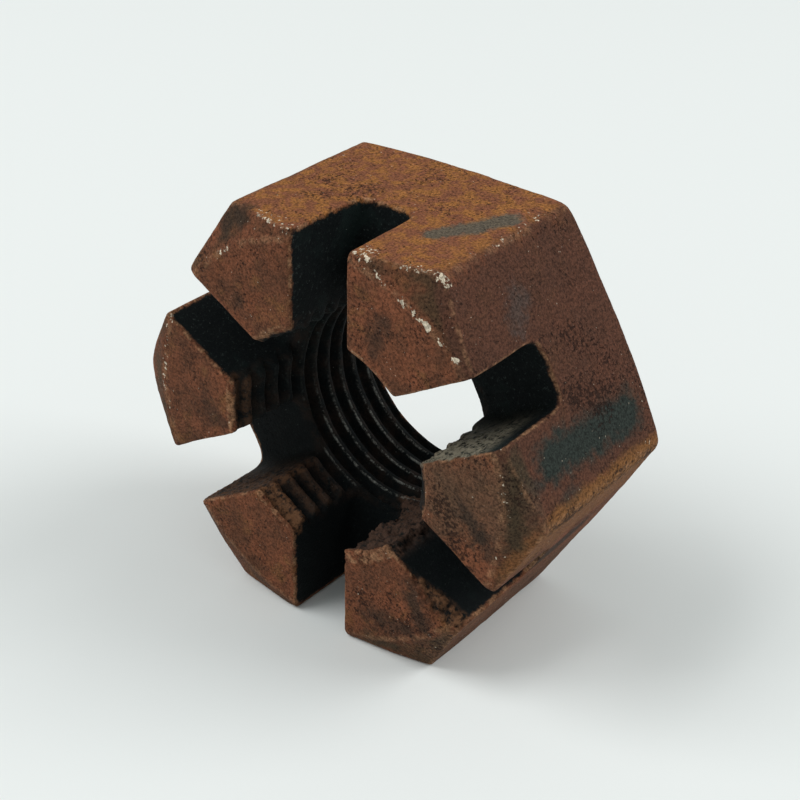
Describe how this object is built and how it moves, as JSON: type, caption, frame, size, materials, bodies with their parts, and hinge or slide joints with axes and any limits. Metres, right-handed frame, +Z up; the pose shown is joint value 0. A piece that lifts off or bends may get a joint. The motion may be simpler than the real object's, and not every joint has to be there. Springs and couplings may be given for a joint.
{
  "type": "slotted hex nut",
  "caption": "Slotted (castle-type) steel hex nut with a right-hand fine internal thread, chamfered corners and radial slots for a cotter pin, heavily rusted.",
  "frame": {"origin": "bottom centre of the nut: on the flat it stands on, below the thread axis, half way between the slotted face and the bearing face", "axes": "+Y along the thread axis towards the bearing face, so the slotted face looks towards -Y; +Z up, normal to the flat the nut stands on; +X across the corners"},
  "size_m": [0.0384, 0.0174, 0.0333],
  "materials": {
    "rusted_steel": "rough red-brown rust over forged steel, with a few bare grey rubbed patches"
  },
  "bodies": {
    "root": {"slotted_nut_body": "rusted_steel"}
  },
  "joints": []
}
